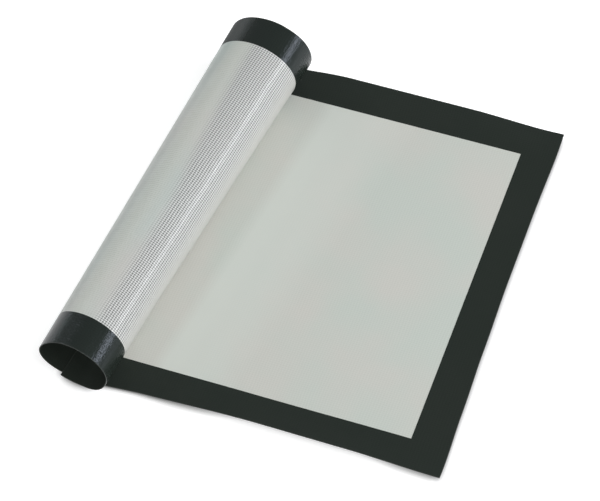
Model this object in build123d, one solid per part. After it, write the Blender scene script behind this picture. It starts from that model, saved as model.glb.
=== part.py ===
from build123d import *
from math import atan, atan2, cos, degrees, radians, sin, tan
import os

# A baking mat, half rolled up. It is one flexible sheet made of three things: a woven glass cloth, a pale
# silicone coat on both faces of the cloth, and a darker silicone border that covers and seals the cut edges.
# The right-hand part lies flat. The rest is rolled up over it, and a real mat bends evenly all along the
# roll. A rigid model can't, so the roll is divided into narrow strips, each hinged to the one before along a
# straight line of the sheet, and all the bends open together when the mat unrolls.
#
# Places on the sheet are given as x and y with the mat laid flat: y runs along the roll from the near edge,
# and x across it from where the near edge leaves the table, positive towards the flat part. Depth runs
# through the sheet, from its underside to the face that carries the food.
#
# The roll is slightly conical, as a sheet rolled by hand is, so every hinge line meets the others at an apex.

# Sheet
sheet_length = 420.0
sheet_width = 295.0
border_width = 24.0
edge_seal = 1.5            # how far the border reaches past the cloth at the cut edge
cloth_thickness = 0.25
coat_thickness = 0.15      # on each face of the cloth
border_rise = 0.075        # how far the border stands proud of the coat, on each face

# Roll
rolled_length = 169.5      # along the near edge, from the roll's line of contact to the free edge inside it
roll_lean = 6.4            # degrees between the line of contact and the short edges
near_bend_radius = 26.0    # of the underside, where the roll leaves the table
radius_growth = 6.6        # from the near end of the roll to its far end
layer_gap = 1.5            # between two layers, after one full turn at the near end
sag_share = 0.21           # how much the bend radius grows and shrinks round the section as the roll sags
sag_turn = -23.0           # degrees round the roll from the line of contact to where the radius is largest

# Strips and hinges
even_strip_count = 16      # from the flat part to just before the window's edge
window_lead = 4.0          # from a hinge line to the window's edge, where they come closest
edge_lead = 2.0            # from a hinge line to the free edge, where they come closest
hinge_gap = 0.04           # between the cut faces of two neighbouring strips
full_turn = 360.0
fitting_rounds = 30        # of working out a strip's turn

# Reach of cutting tools past what they cut, in depth and in degrees round the roll
overrun = 1.0
overrun_turn = 2.0

# Worked out from the sizes above
window_low = border_rise
cloth_low = window_low + coat_thickness
cloth_high = cloth_low + cloth_thickness
window_high = cloth_high + coat_thickness
sheet_thickness = window_high + border_rise
flat_length = sheet_length - rolled_length
free_edge = -rolled_length
window_edge = free_edge + border_width
contact_length = sheet_width / cos(radians(roll_lean))
first_half_angle = atan(radius_growth / contact_length)
apex_distance = near_bend_radius / tan(first_half_angle)
closing_share = (sheet_thickness + layer_gap) / near_bend_radius
mean_bend_radius = near_bend_radius + radius_growth / 2
hinge_gap_turn = degrees(hinge_gap / mean_bend_radius)

contact_line = Vector(sin(radians(roll_lean)), cos(radians(roll_lean)), 0)
apex = contact_line * -apex_distance
upward = Vector(0, 0, 1)


def bearing_of(x, y):
    """Degrees from +Y towards +X at which the apex sees a place on the flat sheet."""
    return degrees(atan2(x - apex.X, y - apex.Y))


def x_on_bearing(bearing, y):
    """Where a straight line from the apex crosses a line along x."""
    return apex.X + (y - apex.Y) * tan(radians(bearing))


def sine_at(turn):
    """Sine of the cone's half angle: it falls as the roll winds inwards, and sways as the roll sags."""
    winding = -closing_share * turn / full_turn
    sagging = sag_share * cos(radians(2 * (turn - sag_turn)))
    return sin(first_half_angle) * (1 + winding + sagging)


def strip_groups():
    """How many strips each group has, and the bearing of the hinge line that it ends on.

    The window's edge lies within one strip, and the free edge within the last."""
    edges = (0, sheet_width)
    return [
        (even_strip_count, max(bearing_of(window_edge + window_lead, y) for y in edges)),
        (1, min(bearing_of(window_edge - window_lead, y) for y in edges)),
        (1, max(bearing_of(free_edge + edge_lead, y) for y in edges)),
        (1, min(bearing_of(free_edge - edge_lead, y) for y in edges)),
    ]


def even_turn(start, span, count):
    """Degrees round the roll of each of some even strips that cover a span of bearings from a start turn."""
    turn = full_turn / even_strip_count
    for _ in range(fitting_rounds):
        covered = sum(turn * sine_at(start + (number + 1 / 2) * turn) for number in range(count))
        turn *= span / covered
    return turn


def turned(vector, axis, angle):
    """The vector turned about an axis through the apex."""
    return vector.rotate(Axis((0, 0, 0), axis), angle)


class Strip:
    """A stretch of the roll between two hinge lines: part of a round cone about its own axis."""

    def __init__(self, number, line, inward, bearing, start, turn):
        self.number = number
        self.line = line
        self.inward = inward
        self.bearing = bearing
        self.start = start
        self.turn = turn
        self.sine = sine_at(start + turn / 2)
        self.axis = line * (1 - self.sine**2) ** (1 / 2) + inward * self.sine
        self.end_bearing = bearing - turn * self.sine
        self.end_line = turned(line, self.axis, turn)
        self.end_inward = turned(inward, self.axis, turn)

    def turn_to(self, x, y):
        """Degrees round the strip's cone from its first hinge line to a place on the sheet."""
        return (self.bearing - bearing_of(x, y)) / self.sine

    def place(self, x, y):
        """Where a place on the sheet's underside comes to lie."""
        away = ((x - apex.X) ** 2 + (y - apex.Y) ** 2) ** (1 / 2)
        return apex + turned(self.line, self.axis, self.turn_to(x, y)) * away

    def shell(self, low, high, spare=-hinge_gap_turn / 2):
        """The strip between two depths, longer than the sheet is wide, with spare degrees at each hinge line."""
        line = turned(self.line, self.axis, -spare)
        inward = turned(self.inward, self.axis, -spare)
        start = apex_distance / 2
        end = apex_distance + 2 * contact_length
        corners = [(start, low), (end, low), (end, high), (start, high)]
        outline = [apex + line * along + inward * depth for along, depth in corners]
        profile = make_face(Polyline(*outline, close=True))
        return revolve(profile, Axis(apex, self.axis), self.turn + 2 * spare)

    def cutting_plane(self, first, second, kept):
        """A plane through two places on the sheet, square to it, that faces a third place."""
        middle_turn = (self.turn_to(*first) + self.turn_to(*second)) / 2
        through = turned(self.inward, self.axis, middle_turn)
        start = self.place(*first)
        normal = (self.place(*second) - start).cross(through).normalized()
        if (self.place(*kept) - start).dot(normal) < 0:
            normal = normal * -1
        return Plane(origin=start, z_dir=normal)

    def trimmed(self, solid, inset):
        """The shell cut off at the sheet's near, far and free edges, or a little inside them."""
        near, far, free = inset, sheet_width - inset, free_edge + inset
        middle_y = sheet_width / 2
        middle = (x_on_bearing((self.bearing + self.end_bearing) / 2, middle_y), middle_y)
        for y in (near, far):
            ends = [(x_on_bearing(bearing, y), y) for bearing in (self.bearing, self.end_bearing)]
            solid = split(solid, bisect_by=self.cutting_plane(*ends, middle))
        turns = [self.turn_to(free, near), self.turn_to(free, far)]
        if max(turns) <= 0:
            return None
        if min(turns) < self.turn:
            plane = self.cutting_plane((free, near), (free, far), (free + border_width, middle_y))
            solid = split(solid, bisect_by=plane)
        return solid

    def glass_cloth(self):
        return self.trimmed(self.shell(cloth_low, cloth_high), edge_seal)

    def silicone_coat(self):
        skins = [(window_low, cloth_low), (cloth_high, window_high)]
        pieces = [self.trimmed(self.shell(low, high), border_width) for low, high in skins]
        return Compound(children=pieces) if all(pieces) else None

    def border(self):
        whole = self.trimmed(self.shell(0, sheet_thickness), 0)
        cloth = self.trimmed(self.shell(cloth_low, cloth_high, overrun_turn), edge_seal)
        window = self.trimmed(self.shell(-overrun, sheet_thickness + overrun, overrun_turn), border_width)
        framed = whole - window if window else whole
        return framed - cloth


def flat_slab(low, high, inset, spare=-hinge_gap / 2):
    """The flat part between two depths, inset from the sheet's edges, with spare length at the roll."""
    right = flat_length - inset
    lines = (inset, sheet_width - inset)
    left = [(x_on_bearing(roll_lean, y) - spare / cos(radians(roll_lean)), y) for y in lines]
    outline = [left[0], (right, lines[0]), (right, lines[1]), left[1]]
    return Pos(0, 0, low) * extrude(make_face(Polyline(*outline, close=True)), high - low)


def flat_glass_cloth():
    return flat_slab(cloth_low, cloth_high, edge_seal)


def flat_silicone_coat():
    lower = flat_slab(window_low, cloth_low, border_width)
    upper = flat_slab(cloth_high, window_high, border_width)
    return Compound(children=[lower, upper])


def flat_border():
    whole = flat_slab(0, sheet_thickness, 0)
    cloth = flat_slab(cloth_low, cloth_high, edge_seal, overrun)
    window = flat_slab(-overrun, sheet_thickness + overrun, border_width, overrun)
    return whole - window - cloth


def roll_strips():
    """Every strip, from the flat part to the free edge."""
    strips = []
    line, inward, bearing, start = contact_line, upward, roll_lean, 0
    for count, last_bearing in strip_groups():
        turn = even_turn(start, bearing - last_bearing, count)
        for _ in range(count):
            strip = Strip(len(strips) + 1, line, inward, bearing, start, turn)
            strips.append(strip)
            line, inward, bearing = strip.end_line, strip.end_inward, strip.end_bearing
            start += turn
    return strips


strips = roll_strips()

nodes = {
    "flat_glass_cloth": flat_glass_cloth(),
    "flat_silicone_coat": flat_silicone_coat(),
    "flat_border": flat_border(),
}
for strip in strips:
    stretch = f"roll_{strip.number:02d}"
    nodes[f"{stretch}_glass_cloth"] = strip.glass_cloth()
    coat = strip.silicone_coat()
    if coat:
        nodes[f"{stretch}_silicone_coat"] = coat
    nodes[f"{stretch}_border"] = strip.border()

# The origin is under the middle of the whole mat, on the table.
extent = Compound(children=[Compound(node.wrapped) for node in nodes.values()]).bounding_box()
to_origin = Vector(-extent.center().X, -extent.center().Y, 0)

os.makedirs("parts", exist_ok=True)
for name, node in nodes.items():
    export_step(Pos(to_origin) * node, f"parts/{name}.step")
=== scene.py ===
import math

import bpy
import numpy as np
from mathutils import Matrix, Vector

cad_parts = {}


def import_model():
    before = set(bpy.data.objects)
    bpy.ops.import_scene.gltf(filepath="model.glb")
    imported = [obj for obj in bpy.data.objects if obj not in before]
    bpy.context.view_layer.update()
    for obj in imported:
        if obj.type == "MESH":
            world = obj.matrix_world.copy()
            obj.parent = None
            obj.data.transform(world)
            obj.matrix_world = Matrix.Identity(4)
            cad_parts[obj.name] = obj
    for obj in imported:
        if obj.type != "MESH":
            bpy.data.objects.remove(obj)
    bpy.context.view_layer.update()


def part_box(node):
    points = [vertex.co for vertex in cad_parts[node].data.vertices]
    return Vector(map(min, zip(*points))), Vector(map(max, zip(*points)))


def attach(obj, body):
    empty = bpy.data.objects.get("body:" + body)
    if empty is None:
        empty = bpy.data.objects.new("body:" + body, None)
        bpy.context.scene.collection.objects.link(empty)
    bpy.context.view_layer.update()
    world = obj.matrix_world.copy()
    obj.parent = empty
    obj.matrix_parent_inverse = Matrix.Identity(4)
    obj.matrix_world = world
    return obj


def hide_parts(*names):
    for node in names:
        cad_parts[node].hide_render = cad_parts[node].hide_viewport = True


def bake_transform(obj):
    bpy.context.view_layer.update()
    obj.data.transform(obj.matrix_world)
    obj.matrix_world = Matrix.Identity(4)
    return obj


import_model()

# The sheet, in millimetres, with the same sizes as the CAD source. Places on it are x and y with the mat
# laid flat, and depth from the underside to the face that carries the food.
SHEET_LENGTH = 420.0
SHEET_WIDTH = 295.0
BORDER_WIDTH = 24.0
THICKNESS = 0.7
WINDOW_LOW = 0.075         # depths of the coat's two faces, between those of the border
WINDOW_HIGH = 0.625
ROLLED_LENGTH = 169.5      # along the near edge, from the line of contact to the free edge inside the roll
ROLL_LEAN = 6.4            # degrees between the line of contact and the short edges
NEAR_BEND_RADIUS = 26.0    # of the underside, where the roll leaves the table
RADIUS_GROWTH = 6.6        # from the near end of the roll to its far end
LAYER_GAP = 1.5            # between two layers, after one full turn at the near end
SAG_SHARE = 0.21           # how much the bend radius grows and shrinks round the section as the roll sags
SAG_TURN = -23.0           # degrees round the roll from the line of contact to where the radius is largest
EVEN_STRIP_COUNT = 16      # from the flat part to just before the window's edge
WINDOW_LEAD = 4.0          # from a hinge line to the window's edge, where they come closest
EDGE_LEAD = 2.0            # from a hinge line to the free edge, where they come closest
FULL_TURN = 360.0
FITTING_ROUNDS = 30        # of working out a strip's turn

FLAT_LENGTH = SHEET_LENGTH - ROLLED_LENGTH
FREE_EDGE = -ROLLED_LENGTH
WINDOW_EDGE = FREE_EDGE + BORDER_WIDTH
WINDOW_RIGHT = FLAT_LENGTH - BORDER_WIDTH
WINDOW_NEAR = BORDER_WIDTH
WINDOW_FAR = SHEET_WIDTH - BORDER_WIDTH
WINDOW_WIDTH = WINDOW_FAR - WINDOW_NEAR
CONTACT_LENGTH = SHEET_WIDTH / math.cos(math.radians(ROLL_LEAN))
FIRST_HALF_ANGLE = math.atan(RADIUS_GROWTH / CONTACT_LENGTH)
APEX_DISTANCE = NEAR_BEND_RADIUS / math.tan(FIRST_HALF_ANGLE)
CLOSING_SHARE = (THICKNESS + LAYER_GAP) / NEAR_BEND_RADIUS
CONTACT_LINE = np.array([math.sin(math.radians(ROLL_LEAN)), math.cos(math.radians(ROLL_LEAN)), 0.0])
APEX = -APEX_DISTANCE * CONTACT_LINE

# From the sheet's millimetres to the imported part's frame
MM = 0.001
flat_low, flat_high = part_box("flat_border")
SHIFT = np.array([flat_high.x - FLAT_LENGTH * MM, flat_low.y, 0.0])


def bearing_of(x, y):
    """Degrees from +Y towards +X at which the roll's apex sees a place on the flat sheet."""
    return np.degrees(np.arctan2(x - APEX[0], y - APEX[1]))


def x_on_bearing(bearing, y):
    """Where a straight line from the apex crosses a line along x."""
    return APEX[0] + (y - APEX[1]) * math.tan(math.radians(bearing))


def turned(vector, axis, degrees):
    """The vector turned about an axis, by one angle or by many."""
    angle = np.radians(np.asarray(degrees, float))[..., None]
    along = axis * np.dot(axis, vector)
    return along + (vector - along) * np.cos(angle) + np.cross(axis, vector) * np.sin(angle)


def sine_at(turn):
    """Sine of the cone's half angle: it falls as the roll winds inwards, and sways as the roll sags."""
    winding = -CLOSING_SHARE * turn / FULL_TURN
    sagging = SAG_SHARE * math.cos(math.radians(2 * (turn - SAG_TURN)))
    return math.sin(FIRST_HALF_ANGLE) * (1 + winding + sagging)


class Strip:
    """A stretch of the roll between two hinge lines, as in the CAD source."""

    def __init__(self, line, inward, bearing, start, turn):
        self.line, self.inward, self.bearing = line, inward, bearing
        self.sine = sine_at(start + turn / 2)
        self.axis = line * math.sqrt(1 - self.sine**2) + inward * self.sine
        self.end_bearing = bearing - turn * self.sine
        self.end_line = turned(line, self.axis, turn)
        self.end_inward = turned(inward, self.axis, turn)
        self.middle_bearing = (self.bearing + self.end_bearing) / 2


def even_turn(start, span, count):
    """Degrees round the roll of each of some even strips that cover a span of bearings from a start turn."""
    turn = FULL_TURN / EVEN_STRIP_COUNT
    for _ in range(FITTING_ROUNDS):
        covered = sum(turn * sine_at(start + (number + 0.5) * turn) for number in range(count))
        turn *= span / covered
    return turn


def roll_strips():
    """Every strip, from the flat part to the free edge."""
    edges = (0.0, SHEET_WIDTH)
    groups = [
        (EVEN_STRIP_COUNT, max(bearing_of(WINDOW_EDGE + WINDOW_LEAD, y) for y in edges)),
        (1, min(bearing_of(WINDOW_EDGE - WINDOW_LEAD, y) for y in edges)),
        (1, max(bearing_of(FREE_EDGE + EDGE_LEAD, y) for y in edges)),
        (1, min(bearing_of(FREE_EDGE - EDGE_LEAD, y) for y in edges)),
    ]
    made = []
    line, inward, bearing, start = CONTACT_LINE, np.array([0.0, 0.0, 1.0]), ROLL_LEAN, 0.0
    for count, last_bearing in groups:
        turn = even_turn(start, bearing - last_bearing, count)
        for _ in range(count):
            strip = Strip(line, inward, bearing, start, turn)
            made.append(strip)
            line, inward, bearing = strip.end_line, strip.end_inward, strip.end_bearing
            start += turn
    return made


strips = roll_strips()


def eased(value, start, end):
    """0 before the start and 1 after the end, with a smooth rise between them."""
    share = np.clip((value - start) / (end - start), 0.0, 1.0)
    return share * share * (3.0 - 2.0 * share)


def through(knots, value):
    """A smooth curve through pairs of a place and the value there, level at each pair."""
    places, values = np.array(knots, float).T
    value = np.clip(value, places[0], places[-1])
    index = np.clip(np.searchsorted(places, value, side="right") - 1, 0, len(places) - 2)
    share = (value - places[index]) / (places[index + 1] - places[index])
    return values[index] + (values[index + 1] - values[index]) * share * share * (3.0 - 2.0 * share)


# How the real sheet departs from the ideal one, in millimetres, as pairs of a place along an edge and the
# amount there. Its edges curl off the table.
NEAR_CURL = [(28, 0.0), (128, 5.5), (190, 5.4), (250, 2.8)]
FAR_CURL = [(34, 0.0), (92, 5.2), (182, 5.2), (238, 2.8), (250, 3.2)]
RIGHT_CURL = [(0, 0.0), (90, 1.5), (230, 1.5), (295, 0.0)]
CURL_WIDTH = 26.0          # from the edge to where the sheet lies down
CURL_POWER = 1.8           # of how it rises from there

# It was cut a little out of true, and the near step between its border and its window isn't straight.
NEAR_CUT = [
    (-170, 0.0), (-155, 0.0), (-136, 1.4), (-118, 0.4), (-100, 0.0), (-75, 0.0), (-45, 2.0), (-8, 2.0),
    (5, 2.4), (48, 0.0),
]
FAR_CUT = [
    (-150, 0.0), (-125, 1.2), (-100, 0.8), (-75, 0.0), (-50, -0.6), (-25, -1.6), (0, -1.2), (30, 0.0),
]
RIGHT_CUT = [(0, 3.3), (52, 2.0), (105, 0.9), (160, 0.0), (220, 0.0), (290, 0.7)]
LEFT_CUT = [(0, 3.2), (60, 2.6), (200, 0.0)]
NEAR_STEP = [(-170, 0.0), (-130, 0.0), (-75, 1.5), (-30, 1.5), (20, -1.1), (120, -0.6), (220, 0.0)]
STEP_REACH = 70.0          # from the near edge to where the window no longer follows the step

# The near end of the roll flares outwards.
FLARE = [(-165, 0.0), (-150, 0.5), (-133, 1.5), (-118, 1.0), (-95, 0.0)]
FLARE_REACH = 90.0         # from the near edge to where it ends


def curled(gap):
    """The share of an edge's curl at some distance inside it."""
    return np.clip(1 - gap / CURL_WIDTH, 0.0, 1.0) ** CURL_POWER


def lift(x, y):
    """How far the curl lifts a place off the table."""
    near = through(NEAR_CURL, x) * curled(y)
    far = through(FAR_CURL, x) * curled(SHEET_WIDTH - y)
    right = through(RIGHT_CURL, y) * curled(FLAT_LENGTH - x)
    return near + far + right


def cut(x, y):
    """Where a place of the ideal sheet lies on the real one."""
    in_border = np.clip(1 - y / BORDER_WIDTH, 0.0, 1.0)
    step_share = np.where(y < WINDOW_NEAR, 1 - in_border, 1 - eased(y, WINDOW_NEAR, STEP_REACH))
    step = through(NEAR_STEP, x) * step_share
    right = through(RIGHT_CUT, y) * eased(x, WINDOW_RIGHT, FLAT_LENGTH)
    left = through(LEFT_CUT, y) * (1 - eased(x, FREE_EDGE, WINDOW_EDGE))
    near = through(NEAR_CUT, x) * in_border
    far = through(FAR_CUT, x) * np.clip((y - WINDOW_FAR) / BORDER_WIDTH, 0.0, 1.0)
    return x + right + left, y - near + step + far


def place(x, y, depth):
    """Where places in the sheet come to lie, in metres in the part's frame."""
    x, y, depth = (np.asarray(value, float) for value in np.broadcast_arrays(x, y, depth))
    flare = through(FLARE, x) * (1 - eased(y, 0, FLARE_REACH))
    rise = depth + lift(x, y)
    x, y = cut(x, y)
    bearing = bearing_of(x, y)
    away = np.hypot(x - APEX[0], y - APEX[1])[..., None]
    points = np.stack([x, y, rise], -1)
    for strip in strips:
        here = bearing < strip.bearing
        turn = (strip.bearing - bearing[here]) / strip.sine
        line = turned(strip.line, strip.axis, turn)
        inward = turned(strip.inward, strip.axis, turn)
        points[here] = APEX + line * away[here] + inward * (depth - flare)[here][..., None]
    return points * MM + SHIFT


# How far the border's rim and its step at the window are rounded, in millimetres
RIM_RADIUS = 0.3
STEP_RADIUS = 0.06


def rounding(distance, radius):
    """How far a surface has dropped at some distance inside a rounded edge."""
    share = np.clip(distance / radius, 0.0, 1.0)
    return radius * (1.0 - np.sqrt(1.0 - (1.0 - share) ** 2))


def rim_gap(x, y):
    """Distance from a place to the nearest edge of the sheet."""
    return np.minimum.reduce([y, SHEET_WIDTH - y, x - FREE_EDGE, FLAT_LENGTH - x])


def border_inset(x, y):
    """How far the border's faces have dropped at a place, by its rim's rounding or its step's."""
    outside = [WINDOW_NEAR - y, y - WINDOW_FAR, WINDOW_EDGE - x, x - WINDOW_RIGHT]
    to_window = np.maximum.reduce(outside)
    return np.maximum(rounding(rim_gap(x, y), RIM_RADIUS), rounding(to_window, STEP_RADIUS))


def depths(kind, x, y):
    """The depths of a piece's underside and of its face that carries the food."""
    if kind == "coat":
        return WINDOW_LOW, WINDOW_HIGH
    inset = border_inset(x, y)
    return inset, THICKNESS - inset


UV_NAME = "Sheet"
NORMAL_STEP = 0.02         # mm from a place to those from which the surface's direction there is worked out
ON_RIM = 1e-4              # mm from the sheet's edge within which a side face is part of the rim

# The sorts of face that a piece has
UNDER = 0
OVER = 1
SIDE = 2


def normals_at(kind, x, y, face):
    """The surface's direction at places on one face, from how the places near them lie."""
    depth = depths(kind, x, y)[face]
    steps = ((-NORMAL_STEP, 0), (NORMAL_STEP, 0), (0, -NORMAL_STEP), (0, NORMAL_STEP))
    ends = [place(x + dx, y + dy, depth) for dx, dy in steps]
    across = np.cross(ends[1] - ends[0], ends[3] - ends[2])
    across /= np.linalg.norm(across, axis=-1, keepdims=True)
    return across if face == OVER else -across


def grid_faces(kept):
    """The faces of a closed thin piece made of the kept cells of a grid, and the sort of each. They number
    the grid's places on the underside first, and then those on the face that carries the food."""
    shape = (kept.shape[0] + 1, kept.shape[1] + 1)
    count = shape[0] * shape[1]
    number = np.arange(count).reshape(shape)
    padded_kept = np.pad(kept, 1)
    faces, sorts = [], []
    for i, j in np.argwhere(kept):
        a, b, c, d = number[i, j], number[i + 1, j], number[i + 1, j + 1], number[i, j + 1]
        faces.append((count + a, count + b, count + c, count + d))
        faces.append((d, c, b, a))
        sorts += [OVER, UNDER]
        sides = [((a, b), (0, -1)), ((b, c), (1, 0)), ((c, d), (0, 1)), ((d, a), (-1, 0))]
        for (first, second), (di, dj) in sides:
            if not padded_kept[i + 1 + di, j + 1 + dj]:
                faces.append((first, second, count + second, count + first))
                sorts.append(SIDE)
    return np.array(faces), np.array(sorts)


def corner_normals(kind, x, y, sorts):
    """The direction of the surface at every corner of every face. It is zero, which leaves it to Blender, on
    the sides and where the border is rounded."""
    normals = np.zeros(x.shape + (3,))
    for face in (UNDER, OVER):
        chosen = sorts == face
        found = normals_at(kind, x[chosen], y[chosen], face)
        if kind == "border":
            found[border_inset(x[chosen], y[chosen]) > 0] = 0
        normals[chosen] = found
    return normals.reshape(-1, 3).tolist()


def solid(name, kind, columns, rows, inside, materials):
    """A closed thin piece of the sheet: the cells of a grid of places that are inside it. The columns are
    the x of each grid line at each row, from left to right."""
    x = np.asarray(columns, float)
    y = np.broadcast_to(np.asarray(rows, float), x.shape)
    middle_x = (x[:-1, :-1] + x[1:, :-1] + x[:-1, 1:] + x[1:, 1:]) / 4
    middle_y = (y[:-1, :-1] + y[1:, 1:]) / 2
    faces, sorts = grid_faces(inside(middle_x, middle_y))
    points = np.concatenate([place(x, y, depth).reshape(-1, 3) for depth in depths(kind, x, y)])
    used, corners = np.unique(faces, return_inverse=True)
    corners = corners.ravel()
    faces = corners.reshape(faces.shape)
    flat_x = np.tile(x.ravel(), 2)[used]
    flat_y = np.tile(y.ravel(), 2)[used]
    mesh = bpy.data.meshes.new(name)
    mesh.from_pydata(points[used].tolist(), [], faces.tolist())
    layer = mesh.uv_layers.new(name=UV_NAME)
    spots = np.stack([(flat_x - FREE_EDGE) / SHEET_LENGTH, flat_y / SHEET_WIDTH], -1)[corners]
    layer.uv.foreach_set("vector", spots.astype(np.float32).ravel())
    for material in materials:
        mesh.materials.append(material)
    mesh.polygons.foreach_set("material_index", (sorts != OVER).astype(np.int32))
    rounded = (rim_gap(flat_x, flat_y)[faces].max(1) < ON_RIM) & (kind == "border")
    mesh.polygons.foreach_set("use_smooth", (sorts != SIDE) | rounded)
    mesh.update()
    mesh.normals_split_custom_set(corner_normals(kind, flat_x[faces], flat_y[faces], sorts))
    made = bpy.data.objects.new(name, mesh)
    bpy.context.scene.collection.objects.link(made)
    return made


# Grid lines, as distances in millimetres: inwards from the sheet's edge, and outwards from the window's edge
# over its step and over the rest of the border
RIM_LINES = [0.0, 0.02, 0.07, 0.16, RIM_RADIUS]
STEP_LINES = [0.0, 0.02, STEP_RADIUS]
WIDE_LINES = [3.0, 7.0, 11.0, 15.0, 19.0, 22.0]


def rows_of(inner_step):
    """The y of the grid lines from the near edge to the far one, about a step apart within the window."""
    near = RIM_LINES + [BORDER_WIDTH - line for line in reversed(WIDE_LINES)]
    near += [WINDOW_NEAR - line for line in reversed(STEP_LINES)]
    inner = list(np.linspace(WINDOW_NEAR, WINDOW_FAR, int(WINDOW_WIDTH / inner_step) + 1))[1:-1]
    return np.array(near + inner + [SHEET_WIDTH - line for line in reversed(near)])


def spread_columns(left, right, count):
    """The x of grid lines spread evenly between two of them, given at each row."""
    shares = np.linspace(0, 1, count + 1)[:, None]
    return left[None] * (1 - shares) + right[None] * shares


def coat_cell(x, y):
    """Whether a cell of the grid is in the window, by its middle."""
    return (y > WINDOW_NEAR) & (y < WINDOW_FAR) & (x > WINDOW_EDGE) & (x < WINDOW_RIGHT)


def border_cell(x, y):
    return ~coat_cell(x, y)


# Materials


def linear(*values):
    """A colour given as 0 to 255 in the usual way, sRGB, as the shader wants it."""
    shares = [value / 255 for value in values]
    return tuple(s / 12.92 if s <= 0.04045 else ((s + 0.055) / 1.055) ** 2.4 for s in shares) + (1.0,)


# The colour sockets of a mix node, given by number because its other sockets have the same names
MIX_SHARE = 0
MIX_FIRST = 6
MIX_SECOND = 7
MIX_RESULT = 2


class Nodes:
    """Short ways to add nodes to a tree and join them."""

    def __init__(self, tree):
        self.tree = tree
        tree.nodes.clear()

    def add(self, kind, **values):
        """A new node with some of its settings."""
        node = self.tree.nodes.new(kind)
        for name, value in values.items():
            setattr(node, name, value)
        return node

    def feed(self, socket, value):
        """Gives a socket another node's output, or a plain value."""
        if isinstance(value, bpy.types.NodeSocket):
            self.tree.links.new(value, socket)
        else:
            socket.default_value = value

    def math(self, operation, *values):
        node = self.add("ShaderNodeMath", operation=operation)
        for socket, value in zip(node.inputs, values):
            self.feed(socket, value)
        return node.outputs[0]

    def mix(self, share, first, second):
        """The first colour at a share of 0, and the second at 1."""
        node = self.add("ShaderNodeMix", data_type="RGBA")
        self.feed(node.inputs[MIX_SHARE], share)
        self.feed(node.inputs[MIX_FIRST], first)
        self.feed(node.inputs[MIX_SECOND], second)
        return node.outputs[MIX_RESULT]

    def noise(self, vector, scale, detail=2.0):
        node = self.add("ShaderNodeTexNoise")
        self.feed(node.inputs["Vector"], vector)
        node.inputs["Scale"].default_value = scale
        node.inputs["Detail"].default_value = detail
        return node.outputs["Fac"]

    def ranged(self, value, low, high, new_low, new_high):
        """A value moved from one range to another, which it doesn't leave."""
        node = self.add("ShaderNodeMapRange")
        for socket, given in zip(node.inputs, (value, low, high, new_low, new_high)):
            self.feed(socket, given)
        return node.outputs[0]


# The weave, in millimetres from thread to thread. A slow noise moves the threads off their straight lines.
THREADS_ALONG = 1.92       # those that run along the roll
THREADS_ROUND = 1.63       # those that run round it
WANDER = 3.0
WANDER_SCALES = (0.02, 0.017)
THREAD_HEIGHT = 0.7        # of a thread between two crossings
CROSSING_RISE = 0.3        # of a thread that passes over another, and the drop of the one under it


def sheet_places(nodes):
    """x and y on the sheet in millimetres, from its free corner, and both as a vector."""
    spot = nodes.add("ShaderNodeUVMap", uv_map=UV_NAME).outputs[0]
    scaled = nodes.add("ShaderNodeVectorMath", operation="MULTIPLY")
    nodes.feed(scaled.inputs[0], spot)
    scaled.inputs[1].default_value = (SHEET_LENGTH, SHEET_WIDTH, 1.0)
    split = nodes.add("ShaderNodeSeparateXYZ")
    nodes.feed(split.inputs[0], scaled.outputs[0])
    return split.outputs[0], split.outputs[1], scaled.outputs[0]


def weave_height(nodes, x, y, vector):
    """Height of the glass cloth's threads, from 0 in the gaps to 1 where one thread passes over another."""
    x_noise, y_noise = (nodes.noise(vector, scale) for scale in WANDER_SCALES)
    x = nodes.math("ADD", x, nodes.math("MULTIPLY", x_noise, WANDER))
    y = nodes.math("ADD", y, nodes.math("MULTIPLY", y_noise, WANDER))
    across = nodes.math("COSINE", nodes.math("MULTIPLY", x, math.pi / THREADS_ALONG))
    along = nodes.math("COSINE", nodes.math("MULTIPLY", y, math.pi / THREADS_ROUND))
    over = nodes.math("MULTIPLY", nodes.math("MULTIPLY", across, along), CROSSING_RISE)
    first_height = nodes.math("ADD", THREAD_HEIGHT, over)
    second_height = nodes.math("SUBTRACT", THREAD_HEIGHT, over)
    first = nodes.math("MULTIPLY", nodes.math("ABSOLUTE", across), first_height)
    second = nodes.math("MULTIPLY", nodes.math("ABSOLUTE", along), second_height)
    return nodes.math("MAXIMUM", first, second)


# What follows the roll lies between straight lines through its apex. Each line is given by the tangent of
# its bearing, which rises from the free edge inside the roll, over its top and down its left side, to the
# flat part. Places along the lines are in millimetres from the near edge.
CROWN_START = (0.0147, 0.0231)            # over which the weave's painted glints and painted gap shade come in
CROWN_END = (0.0365, 0.0425)              # over which they go out, at the near end
CROWN_WIDENING = (120.0, 262.0, 0.0085)   # from where to where that moves on along the roll, and by how much
BACK_WEAVE = (0.075, 0.088)               # over which the same weave colours come back, weaker, where the photograph doesn't look
BACK_WEAVE_SHARE = 0.45
FAR_PATCH_ACROSS = (0.044, 0.064)             # over which the patch of painted shade and higher roughness at the far end comes in
FAR_PATCH_ALONG = (205.0, 268.0)

# Bands of painted light and painted shade, by where each starts, is full, begins to fade and ends: painted
# # light on the flat window where it takes light off the roll, and painted light then painted shade along
# the
# # roll's left side
FLAT_PAINTED_LIGHT = (0.145, 0.153, 0.160, 0.198)
LEFT_PAINTED_LIGHT = (0.0435, 0.050, 0.055, 0.0605)
LEFT_PAINTED_SHADE = (0.059, 0.0635, 0.075, 0.09)


def bearing_tangent(nodes, x, y):
    """Tangent of the bearing at which the roll's apex sees a place."""
    away_x = nodes.math("ADD", x, FREE_EDGE - float(APEX[0]))
    away_y = nodes.math("SUBTRACT", y, float(APEX[1]))
    return nodes.math("DIVIDE", away_x, away_y)


def band_share(nodes, x, y, start, full, fading, end):
    """1 within a band along the roll, falling to 0 on its two sides."""
    tangent = bearing_tangent(nodes, x, y)
    rising = nodes.ranged(tangent, start, full, 0.0, 1.0)
    return nodes.math("MULTIPLY", rising, nodes.ranged(tangent, fading, end, 1.0, 0.0))


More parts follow.
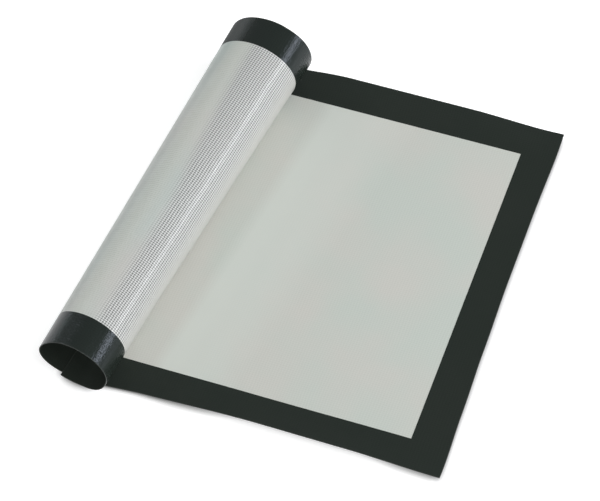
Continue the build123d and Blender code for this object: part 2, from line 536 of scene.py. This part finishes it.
def weave_and_glint_share(nodes, x, y):
    """1 along the band of the sheet where the weave's threads carry painted glints and its gaps painted
    shade, falling to 0 away from it, and partly back further round the roll.
    """
    tangent = bearing_tangent(nodes, x, y)
    start, end, widening = CROWN_WIDENING
    low = nodes.ranged(tangent, *CROWN_START, 0.0, 1.0)
    moved = nodes.math("SUBTRACT", tangent, nodes.ranged(y, start, end, 0.0, widening))
    band = nodes.math("MULTIPLY", low, nodes.ranged(moved, *CROWN_END, 1.0, 0.0))
    return nodes.math("MAXIMUM", band, nodes.ranged(tangent, *BACK_WEAVE, 0.0, BACK_WEAVE_SHARE))


def far_patch_share(nodes, x, y, most):
    """The share of a patch at the far end of the roll's outer face: it carries painted teal shade on the
    coat, and a higher roughness on the border.
    """
    across = nodes.ranged(bearing_tangent(nodes, x, y), *FAR_PATCH_ACROSS, 0.0, most)
    return nodes.math("MULTIPLY", across, nodes.ranged(y, *FAR_PATCH_ALONG, 0.0, 1.0))


def rim_share(nodes, x, y, width):
    """1 at the sheet's cut edges, falling to 0 at some width inside them."""
    gaps = [x, nodes.math("SUBTRACT", SHEET_LENGTH, x), y, nodes.math("SUBTRACT", SHEET_WIDTH, y)]
    nearest = nodes.math("MINIMUM", nodes.math("MINIMUM", *gaps[:2]), nodes.math("MINIMUM", *gaps[2:]))
    return nodes.ranged(nearest, 0.0, width, 1.0, 0.0)


# The noises of a face, each as its scale per millimetre and its detail
DRIFT_NOISE = (0.012, 3.0)       # of the two colours
GRAIN_NOISE = (1.3, 4.0)
SMUDGE_NOISE = (0.05, 5.0)       # of the roughness
FINE_NOISE = (2.5, 3.0)          # of the finest relief
RIPPLE_NOISE = (0.7, 2.0)        # of slower waves in it

DRIFT_RANGE = (0.38, 0.62)       # of the drift, from the first colour to the second
DRIFT_PUSH = 0.25                # added to the drift on the side of the free edge
THREAD_RANGE = (0.35, 0.85)      # of the weave's height, from the colour of a gap to that of a thread
NOISE_RANGE = (0.3, 0.7)         # of the grain and the smudges, from none to all
GRAIN_SHARE = 0.06
FINE_SHARE = 0.15                # of the weave's relief
RIM_WIDTH = 0.7                  # mm inside the cut edges over which their colour fades
SKIN_ROUGHNESS = 0.2
WHITE = (1.0, 1.0, 1.0, 1.0)


def silicone(name, colours, drift, thread, gap, weave, relief, roughness, specular, weave_and_glint=0.0, ripple=0.0,
             gloss=0.0, shine=WHITE, rim=None, painted_far_shade=None, dull=0.0, painted_bands=()):
    """Silicone over the glass cloth. Two colours drift into each other, and threads and gaps show through.

    Drift says between which distances from the free edge the second colour gives way. Weave is the share of
    threads and gaps in the colour; a further share adds to it along the band where the threads carry painted
    glints and the gaps painted shade. Relief and ripple are the heights of the weave and of slower waves, in
    millimetres. Roughness is its lowest and highest value, and dull is the value at the patch at the far
    end.
    Gloss is the share of a smooth skin on top, and shine tints what the face reflects. The rim, the painted
    shade at the far end and each painted band of light or shade are a colour and its greatest share, and a
    painted band also has where it lies along the roll."""
    material = bpy.data.materials.new(name)
    material.use_nodes = True
    nodes = Nodes(material.node_tree)
    x, y, vector = sheet_places(nodes)
    height = weave_height(nodes, x, y, vector)

    drifting = nodes.math("ADD", nodes.noise(vector, *DRIFT_NOISE), nodes.ranged(x, *drift, DRIFT_PUSH, 0.0))
    second_share = nodes.ranged(drifting, *DRIFT_RANGE, 0.0, 1.0)
    base = nodes.mix(second_share, linear(*colours[0]), linear(*colours[1]))
    woven = nodes.mix(nodes.ranged(height, *THREAD_RANGE, 0.0, 1.0), linear(*gap), linear(*thread))
    # Painted glints on the threads and painted shade in the gaps, strongest along a band over the roll's top
    if weave_and_glint:
        weave = nodes.math("ADD", nodes.math("MULTIPLY", weave_and_glint_share(nodes, x, y), weave_and_glint), weave)
    base = nodes.mix(weave, base, woven)
    # Painted teal shade over a patch at the far end of the roll's outer face
    if painted_far_shade:
        colour, share = painted_far_shade
        base = nodes.mix(far_patch_share(nodes, x, y, share), base, linear(*colour))
    # Painted bands: painted light on the window beside the roll, painted light and painted shade on the
    # roll's left
    for colour, share, band in painted_bands:
        painted_share = nodes.math("MULTIPLY", band_share(nodes, x, y, *band), share)
        base = nodes.mix(painted_share, base, linear(*colour))
    grain = nodes.ranged(nodes.noise(vector, *GRAIN_NOISE), *NOISE_RANGE, 0.0, 1.0)
    base = nodes.mix(nodes.math("MULTIPLY", grain, GRAIN_SHARE), base, linear(*thread))
    if rim:
        colour, share = rim
        paler = nodes.math("MULTIPLY", rim_share(nodes, x, y, RIM_WIDTH), share)
        base = nodes.mix(paler, base, linear(*colour))

    rough = nodes.ranged(nodes.noise(vector, *SMUDGE_NOISE), *NOISE_RANGE, *roughness)
    if dull:
        rough = nodes.math("MAXIMUM", rough, far_patch_share(nodes, x, y, dull))
    surface = nodes.math("ADD", height, nodes.math("MULTIPLY", nodes.noise(vector, *FINE_NOISE), FINE_SHARE))
    if ripple:
        waves = nodes.math("MULTIPLY", nodes.noise(vector, *RIPPLE_NOISE), ripple / relief)
        surface = nodes.math("ADD", surface, waves)
    bump = nodes.add("ShaderNodeBump")
    bump.inputs["Distance"].default_value = relief * MM
    nodes.feed(bump.inputs["Height"], surface)

    shader = nodes.add("ShaderNodeBsdfPrincipled")
    nodes.feed(shader.inputs["Base Color"], base)
    nodes.feed(shader.inputs["Roughness"], rough)
    nodes.feed(shader.inputs["Normal"], bump.outputs[0])
    shader.inputs["Specular IOR Level"].default_value = specular
    shader.inputs["Specular Tint"].default_value = shine
    shader.inputs["Coat Weight"].default_value = gloss
    shader.inputs["Coat Roughness"].default_value = SKIN_ROUGHNESS
    output = nodes.add("ShaderNodeOutputMaterial")
    nodes.feed(output.inputs[0], shader.outputs[0])
    return material


# Millimetres from the free edge over which the second colour of a face gives way to the first
FACE_DRIFT = (170.0, 250.0)
BACK_DRIFT = (68.0, 98.0)
BORDER_RIM = ((74, 78, 72), 0.4)

# The window's face, with a band of painted light beside the roll
coat_face = silicone(
    "coat_face", [(193, 201, 193), (202, 200, 193)], FACE_DRIFT, thread=(206, 210, 204), gap=(183, 188, 182),
    weave=0.3, relief=0.02, roughness=(0.55, 0.7), specular=0.2, painted_bands=[((207, 212, 205), 0.85, FLAT_PAINTED_LIGHT)])
# The roll's outer face: bright threads and very dark gaps are painted glints and shade along its top, the
# far patch is painted teal shade, and its bands are painted light and painted shade on its left side
coat_back = silicone(
    "coat_back", [(196, 204, 199), (203, 203, 198)], BACK_DRIFT, thread=(227, 228, 227), gap=(60, 66, 65),
    weave=0.1, weave_and_glint=0.75, relief=0.2, roughness=(0.35, 0.45), specular=0.2, gloss=0.3,
    painted_far_shade=((160, 180, 175), 0.75),
    painted_bands=[((214, 218, 210), 0.55, LEFT_PAINTED_LIGHT), ((150, 160, 155), 0.35, LEFT_PAINTED_SHADE)])
border_face = silicone(
    "border_face", [(34, 41, 36), (37, 43, 38)], FACE_DRIFT, thread=(42, 48, 45), gap=(32, 38, 35),
    weave=0.3, relief=0.012, roughness=(0.5, 0.65), specular=0.15, rim=BORDER_RIM)
border_back = silicone(
    "border_back", [(32, 38, 34), (35, 41, 36)], BACK_DRIFT, thread=(34, 41, 39), gap=(26, 32, 30),
    weave=0.3, relief=0.03, ripple=0.2, roughness=(0.17, 0.24), dull=0.6, specular=0.28,
    shine=(0.82, 0.88, 1.0, 1.0), rim=BORDER_RIM)

# The materials of a piece's face that carries the food, and of its underside and its sides
COAT = (coat_face, coat_back)
BORDER = (border_face, border_back)

# Pieces. Each one runs between two seams, and the seams lie where the cloth follows one strip alone.
SEGMENT_COLUMNS = 12
FLAT_COLUMNS = 48
WINDOW_STRIPS = EVEN_STRIP_COUNT + 1
FLAT_SEAM = 6.0            # mm from the line of contact to the first seam
BLEND_SHARE = 0.97         # of the way from a hinge to the seams on its two sides
SEAM_PLACES = 21           # along a seam, for measuring how near it comes to a hinge
HINGE_NUDGE = 1e-6         # mm off a hinge line, so that a place counts to the strip before it

roll_rows = rows_of(8.0)
flat_rows = rows_of(4.0)


def seam(number, rows):
    """The x of a seam at each row: 0 is on the flat part, and number k lies within strip k."""
    if number == 0:
        return np.array([x_on_bearing(ROLL_LEAN, y) + FLAT_SEAM for y in rows])
    if number == WINDOW_STRIPS:
        return np.full(len(rows), WINDOW_EDGE)
    if number == len(strips):
        return np.full(len(rows), FREE_EDGE)
    return np.array([x_on_bearing(strips[number - 1].middle_bearing, y) for y in rows])


def segment_columns(number):
    """The grid lines from seam k to the one before, with extra ones at the free edge and the last step."""
    left = seam(number, roll_rows)
    right = seam(number - 1, roll_rows)
    if number == len(strips):
        rim = [left + line for line in RIM_LINES[:-1]]
        return np.concatenate([rim, spread_columns(left + RIM_RADIUS, right, SEGMENT_COLUMNS)])
    if number == len(strips) - 1:
        step = [right - line for line in reversed(STEP_LINES[:-1])]
        return np.concatenate([spread_columns(left, right - STEP_RADIUS, SEGMENT_COLUMNS), step])
    return spread_columns(left, right, SEGMENT_COLUMNS)


def blend_ends(number):
    """Where the blend across hinge k starts and ends, so that it is over before the seams on its sides."""
    strip = strips[number - 1]
    ys = np.linspace(0, SHEET_WIDTH, SEAM_PLACES)
    y_middle = SHEET_WIDTH / 2
    hinge = place(x_on_bearing(strip.bearing, y_middle) + HINGE_NUDGE, y_middle, 0.0)
    ahead = np.cross(strip.axis, strip.line)
    ahead /= np.linalg.norm(ahead)
    reach = []
    for index in (number - 1, number):
        ends = [place(seam(index, ys), ys, depth) for depth in (0.0, THICKNESS)]
        reach.append(min(abs((end - hinge) @ ahead).min() for end in ends) * BLEND_SHARE)
    return hinge - ahead * reach[0], hinge + ahead * reach[1]


def flat_area(columns, rows, inside):
    """The area of a piece laid flat, in square metres."""
    x = np.asarray(columns)
    y = np.broadcast_to(rows, x.shape)
    wide = (x[1:, :-1] - x[:-1, :-1] + x[1:, 1:] - x[:-1, 1:]) / 2
    tall = y[:-1, 1:] - y[:-1, :-1]
    kept = inside((x[:-1, :-1] + x[1:, 1:]) / 2, (y[:-1, :-1] + y[:-1, 1:]) / 2)
    return float((wide * tall * kept).sum()) * MM * MM


def cover(name, kind, columns, rows, nodes):
    """A piece of the coat or the border. It hides the CAD nodes that it stands for, and works out its
    flat area, which is not used."""
    materials, inside = (COAT, coat_cell) if kind == "coat" else (BORDER, border_cell)
    piece = solid(f"{name}_{kind}_cover", kind, columns, rows, inside, materials)
    area = flat_area(columns, rows, inside)
    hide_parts(*nodes)
    return piece


def flat_part():
    """The covers of the part that lies on the table. They ride on its body whole."""
    start = seam(0, flat_rows)
    end = np.full(len(flat_rows), WINDOW_RIGHT)
    columns = np.concatenate([
        spread_columns(start, end, FLAT_COLUMNS),
        [end + line for line in STEP_LINES[1:] + WIDE_LINES],
        [end + BORDER_WIDTH - line for line in reversed(RIM_LINES)],
    ])
    border_length = flat_area(columns, flat_rows, border_cell) / (BORDER_WIDTH * MM * MM)
    coat = cover("flat", "coat", columns, flat_rows,
                 ["flat_silicone_coat", "flat_glass_cloth"])
    border = cover("flat", "border", columns, flat_rows, ["flat_border"])
    for piece in (coat, border):
        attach(piece, "flat")


def rolled_part():
    """The covers of the roll. Each bends over from the strip before it to its own."""
    for number in range(1, len(strips) + 1):
        columns = segment_columns(number)
        start, end = blend_ends(number)
        stretch = f"roll_{number:02d}"
        cloth = [f"{stretch}_glass_cloth"]
        if number <= WINDOW_STRIPS:
            made = [
                cover(stretch, "coat", columns, roll_rows,
                      [f"{stretch}_silicone_coat"] + cloth),
                cover(stretch, "border", columns, roll_rows,
                      [f"{stretch}_border"]),
            ]
        else:
            made = [cover(stretch, "border", columns, roll_rows,
                          [f"{stretch}_border"] + cloth)]
        for piece in made:
            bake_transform(piece)


flat_part()
rolled_part()

# Floor, light and camera, in metres

GROUND_REACH = 6.0
GROUND_DROP = 0.0013       # below the underside, because the strips bulge downwards when the mat lies open
GROUND_WHITE = (0.9, 0.9, 0.9, 1.0)
BLACK = (0.0, 0.0, 0.0, 1.0)
BACKDROP_HEIGHT = 0.9
BACKDROP_SIDES = 48

# The tight shadow where the sheet meets the ground: how far it reaches, which way it looks for what covers
# the ground, how dark it gets and how finely it is worked out
CONTACT_REACH = 0.0055
CONTACT_LEAN = tuple(Vector((-0.35, 0.5, 0.8)).normalized())
CONTACT_DEPTH = 1.3
CONTACT_SAMPLES = 16

# The ground's own light makes up for the lamps where they don't reach. It rises between two distances.
FAR_GROUND = (0.6, 1.6)
OWN_LIGHT = (0.45, 0.95)


def stage_material():
    """White ground that keeps the object's shadow. Seen by the camera or in a reflection it has a little
    light of its own, so that the ground of the picture is white."""
    material = bpy.data.materials.new("ground")
    material.use_nodes = True
    nodes = Nodes(material.node_tree)
    ray = nodes.add("ShaderNodeLightPath")
    seen = nodes.math("MAXIMUM", ray.outputs["Is Camera Ray"], ray.outputs["Is Glossy Ray"])
    seen = nodes.math("MAXIMUM", seen, ray.outputs["Is Transmission Ray"])
    touch = nodes.add("ShaderNodeAmbientOcclusion", samples=CONTACT_SAMPLES)
    touch.inputs["Distance"].default_value = CONTACT_REACH
    touch.inputs["Normal"].default_value = CONTACT_LEAN
    light = nodes.math("POWER", touch.outputs["AO"], CONTACT_DEPTH)
    matte = nodes.add("ShaderNodeBsdfDiffuse")
    nodes.feed(matte.inputs[0], nodes.mix(light, BLACK, GROUND_WHITE))
    away = nodes.add("ShaderNodeVectorMath", operation="LENGTH")
    nodes.feed(away.inputs[0], nodes.add("ShaderNodeNewGeometry").outputs["Position"])
    own = nodes.ranged(away.outputs["Value"], *FAR_GROUND, *OWN_LIGHT)
    glow = nodes.add("ShaderNodeEmission")
    nodes.feed(glow.inputs[1], nodes.math("MULTIPLY", nodes.math("MULTIPLY", seen, light), own))
    both = nodes.add("ShaderNodeAddShader")
    nodes.feed(both.inputs[0], matte.outputs[0])
    nodes.feed(both.inputs[1], glow.outputs[0])
    output = nodes.add("ShaderNodeOutputMaterial")
    nodes.feed(output.inputs[0], both.outputs[0])
    return material


def ground():
    """The floor, and a low round wall far behind it that closes the view at table height."""
    angles = [2 * math.pi * side / BACKDROP_SIDES for side in range(BACKDROP_SIDES)]
    ring = [(GROUND_REACH * math.cos(angle), GROUND_REACH * math.sin(angle)) for angle in angles]
    points = [(x, y, -GROUND_DROP) for x, y in ring] + [(x, y, BACKDROP_HEIGHT) for x, y in ring]
    faces = [tuple(range(BACKDROP_SIDES))]
    for side in range(BACKDROP_SIDES):
        following = (side + 1) % BACKDROP_SIDES
        faces.append((following, side, BACKDROP_SIDES + side, BACKDROP_SIDES + following))
    mesh = bpy.data.meshes.new("ground")
    mesh.from_pydata(points, [], faces)
    mesh.materials.append(stage_material())
    made = bpy.data.objects.new("ground", mesh)
    bpy.context.scene.collection.objects.link(made)


WORLD_LIGHT = 0.32


def world():
    """Even white light from all round."""
    made = bpy.data.worlds.new("studio")
    bpy.context.scene.world = made
    made.use_nodes = True
    nodes = Nodes(made.node_tree)
    sky = nodes.add("ShaderNodeBackground")
    sky.inputs[0].default_value = WHITE
    sky.inputs[1].default_value = WORLD_LIGHT
    output = nodes.add("ShaderNodeOutputWorld")
    nodes.feed(output.inputs[0], sky.outputs[0])


LAMP_AIM = Vector((0.0, 0.0, 0.02))


def lamp(name, towards, distance, size, power, colour=(1.0, 1.0, 1.0), shadow=True):
    """A soft rectangular light that lies in a direction from the mat and faces it."""
    data = bpy.data.lights.new(name, "AREA")
    data.shape = "RECTANGLE"
    data.size, data.size_y = size
    data.energy = power
    data.color = colour
    data.use_shadow = shadow
    made = bpy.data.objects.new(name, data)
    direction = Vector(towards).normalized()
    made.location = LAMP_AIM + direction * distance
    made.rotation_euler = direction.to_track_quat("Z", "Y").to_euler()
    bpy.context.scene.collection.objects.link(made)


ground()
world()
lamp("key", (0.5, -0.3, 1.0), 2.4, (1.4, 1.4), 12.0)
lamp("fill", (0.6, -0.5, 0.8), 2.4, (1.0, 1.0), 12.0, shadow=False)
lamp("left", (-0.8, 0.1, 0.7), 2.4, (1.0, 1.0), 7.5, shadow=False)
lamp("shading", (-0.8, 0.1, 0.7), 2.4, (0.3, 0.3), 2.5, colour=(0.92, 1.0, 1.0))
lamp("right", (0.95, -0.25, 0.35), 2.0, (1.0, 0.6), 5.0)
lamp("side", (0.81, 0.33, 0.49), 1.5, (0.8, 0.24), 8.5, colour=(0.93, 0.95, 1.0))
lamp("back", (-0.846, 0.52, 0.15), 1.6, (0.5, 0.06), 0.3, colour=(0.75, 1.0, 1.0))

# The photograph's view: angles in degrees, the target and its distance in the sheet's millimetres, and the
# focal length in pixels of a picture of that width
AZIMUTH = 22.4924
ELEVATION = 54.7072
ROLL = -3.4064
CAMERA_TARGET = (106.147, 143.627, 0.0)
CAMERA_DISTANCE = 1764.013
FOCAL_PIXELS = 2551.789
PICTURE_WIDTH = 600
SENSOR = 36.0              # millimetres
CLIP_END = 50.0


def camera():
    """The camera that sees the part as the photograph does."""
    azimuth, elevation, roll = (math.radians(angle) for angle in (AZIMUTH, ELEVATION, ROLL))
    level = math.cos(elevation)
    back = Vector((math.sin(azimuth) * level, -math.cos(azimuth) * level, math.sin(elevation)))
    right = Vector((math.cos(azimuth), math.sin(azimuth), 0.0))
    up = back.cross(right)
    tilted_right = right * math.cos(roll) + up * math.sin(roll)
    tilted_up = up * math.cos(roll) - right * math.sin(roll)
    target = Vector(CAMERA_TARGET) * MM + Vector(SHIFT)
    data = bpy.data.cameras.new("camera")
    data.sensor_width = SENSOR
    data.sensor_fit = "HORIZONTAL"
    data.lens = FOCAL_PIXELS * SENSOR / PICTURE_WIDTH
    data.clip_end = CLIP_END
    made = bpy.data.objects.new("camera", data)
    bpy.context.scene.collection.objects.link(made)
    axes = Matrix((tilted_right, tilted_up, back)).transposed().to_4x4()
    made.matrix_world = Matrix.Translation(target + back * CAMERA_DISTANCE * MM) @ axes
    bpy.context.scene.camera = made


camera()
bpy.context.scene.view_settings.view_transform = "Standard"
